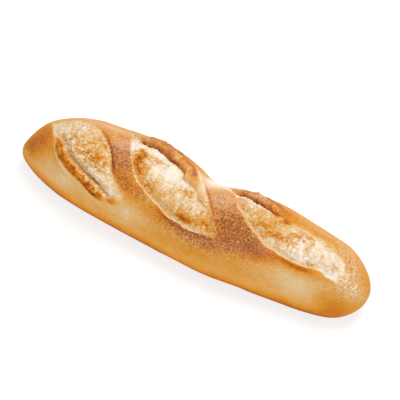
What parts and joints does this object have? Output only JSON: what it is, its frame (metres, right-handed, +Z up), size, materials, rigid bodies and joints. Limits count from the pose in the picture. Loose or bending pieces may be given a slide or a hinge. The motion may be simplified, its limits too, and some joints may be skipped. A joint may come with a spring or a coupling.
{
  "type": "baguette",
  "caption": "Short crusty wheat loaf with rounded ends, a flat base and oblique opened cuts with raised ears across its crown.",
  "frame": {"origin": "on the surface the loaf rests on, at the middle of its outline seen from above", "axes": "+X along the loaf towards its blunter end, +Y to the flank with the two tall ears, +Z up"},
  "size_m": [0.264, 0.0718, 0.0515],
  "materials": {
    "crust": "baked wheat crust: golden brown and satin on the crown, paler on the flanks, floury cream where the cuts opened"
  },
  "bodies": {
    "root": {"loaf": "crust"}
  },
  "joints": []
}
